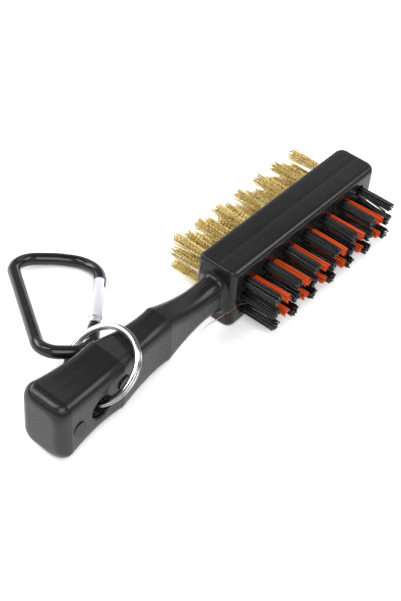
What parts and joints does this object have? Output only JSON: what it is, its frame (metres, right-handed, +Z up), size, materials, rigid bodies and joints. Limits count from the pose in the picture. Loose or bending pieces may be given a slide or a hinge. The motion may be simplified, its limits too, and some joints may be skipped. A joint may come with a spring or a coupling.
{
  "type": "club groove brush",
  "caption": "Two-sided golf club cleaning brush, nylon tufts on one face and brass on the other, with a scooped handle, split key ring and snap carabiner.",
  "frame": {"origin": "middle of the bristle field on the head's narrow bottom face, on which the brush lies", "axes": "+X from the handle to the far end of the head, +Y towards the brass tufts, +Z up, out of the opposite narrow face"},
  "size_m": [0.1611, 0.0868, 0.026],
  "materials": {
    "black_plastic": "satin moulded black",
    "black_nylon": "matte black nylon bristle",
    "orange_nylon": "satin orange nylon bristle",
    "brass_wire": "crimped bright wire",
    "nickel": "bright nickel plate",
    "black_anodised": "glossy black anodised",
    "bare_aluminium": "polished bare",
    "steel": "plain steel"
  },
  "bodies": {
    "brush": {"handle_body": "black_plastic", "black_nylon_tuft_row1_1": "black_nylon", "black_nylon_tuft_row1_2": "black_nylon", "black_nylon_tuft_row1_3": "black_nylon", "black_nylon_tuft_row1_4": "black_nylon", "black_nylon_tuft_row1_5": "black_nylon", "black_nylon_tuft_row1_6": "black_nylon", "black_nylon_tuft_row1_7": "black_nylon", "orange_nylon_tuft_row2_1": "orange_nylon", "orange_nylon_tuft_row2_2": "orange_nylon", "orange_nylon_tuft_row2_3": "orange_nylon", "orange_nylon_tuft_row2_4": "orange_nylon", "orange_nylon_tuft_row2_5": "orange_nylon", "orange_nylon_tuft_row2_6": "orange_nylon", "black_nylon_tuft_row3_1": "black_nylon", "black_nylon_tuft_row3_2": "black_nylon", "black_nylon_tuft_row3_3": "black_nylon", "black_nylon_tuft_row3_4": "black_nylon", "black_nylon_tuft_row3_5": "black_nylon", "black_nylon_tuft_row3_6": "black_nylon", "black_nylon_tuft_row3_7": "black_nylon", "orange_nylon_tuft_row4_1": "orange_nylon", "orange_nylon_tuft_row4_2": "orange_nylon", "orange_nylon_tuft_row4_3": "orange_nylon", "orange_nylon_tuft_row4_4": "orange_nylon", "orange_nylon_tuft_row4_5": "orange_nylon", "orange_nylon_tuft_row4_6": "orange_nylon", "black_nylon_tuft_row5_1": "black_nylon", "black_nylon_tuft_row5_2": "black_nylon", "black_nylon_tuft_row5_3": "black_nylon", "black_nylon_tuft_row5_4": "black_nylon", "black_nylon_tuft_row5_5": "black_nylon", "black_nylon_tuft_row5_6": "black_nylon", "black_nylon_tuft_row5_7": "black_nylon", "brass_tuft_row1": "brass_wire", "brass_tuft_row2": "brass_wire", "brass_tuft_row3": "brass_wire", "brass_tuft_row4": "brass_wire", "brass_tuft_row5": "brass_wire"},
    "ring": {"split_ring": "nickel"},
    "carabiner": {"carabiner_body": "black_anodised", "gate_hinge_rivet": "steel"},
    "gate": {"carabiner_gate": "bare_aluminium", "gate_plunger": "steel", "gate_spring": "steel"}
  },
  "joints": [
    {"name": "ring_swing", "type": "hinge", "parent": "brush", "child": "ring", "pos_m": [-0.1008, 0, 0.0124], "axis": [0, -1, 0], "range_deg": [0, 90]},
    {"name": "carabiner_swing", "type": "hinge", "parent": "ring", "child": "carabiner", "pos_m": [-0.09252, 0.01333, 0.01476], "axis": [0.8602, 0.091, 0.5019], "range_deg": [-20, 40]},
    {"name": "gate_pivot", "type": "hinge", "parent": "carabiner", "child": "gate", "pos_m": [-0.07665, 0.01856, 0.01213], "axis": [0.214, 0.1391, 0.9669], "range_deg": [0, 35], "stiffness_Nm_per_rad": 0.01, "springref_deg": -34.38}
  ]
}
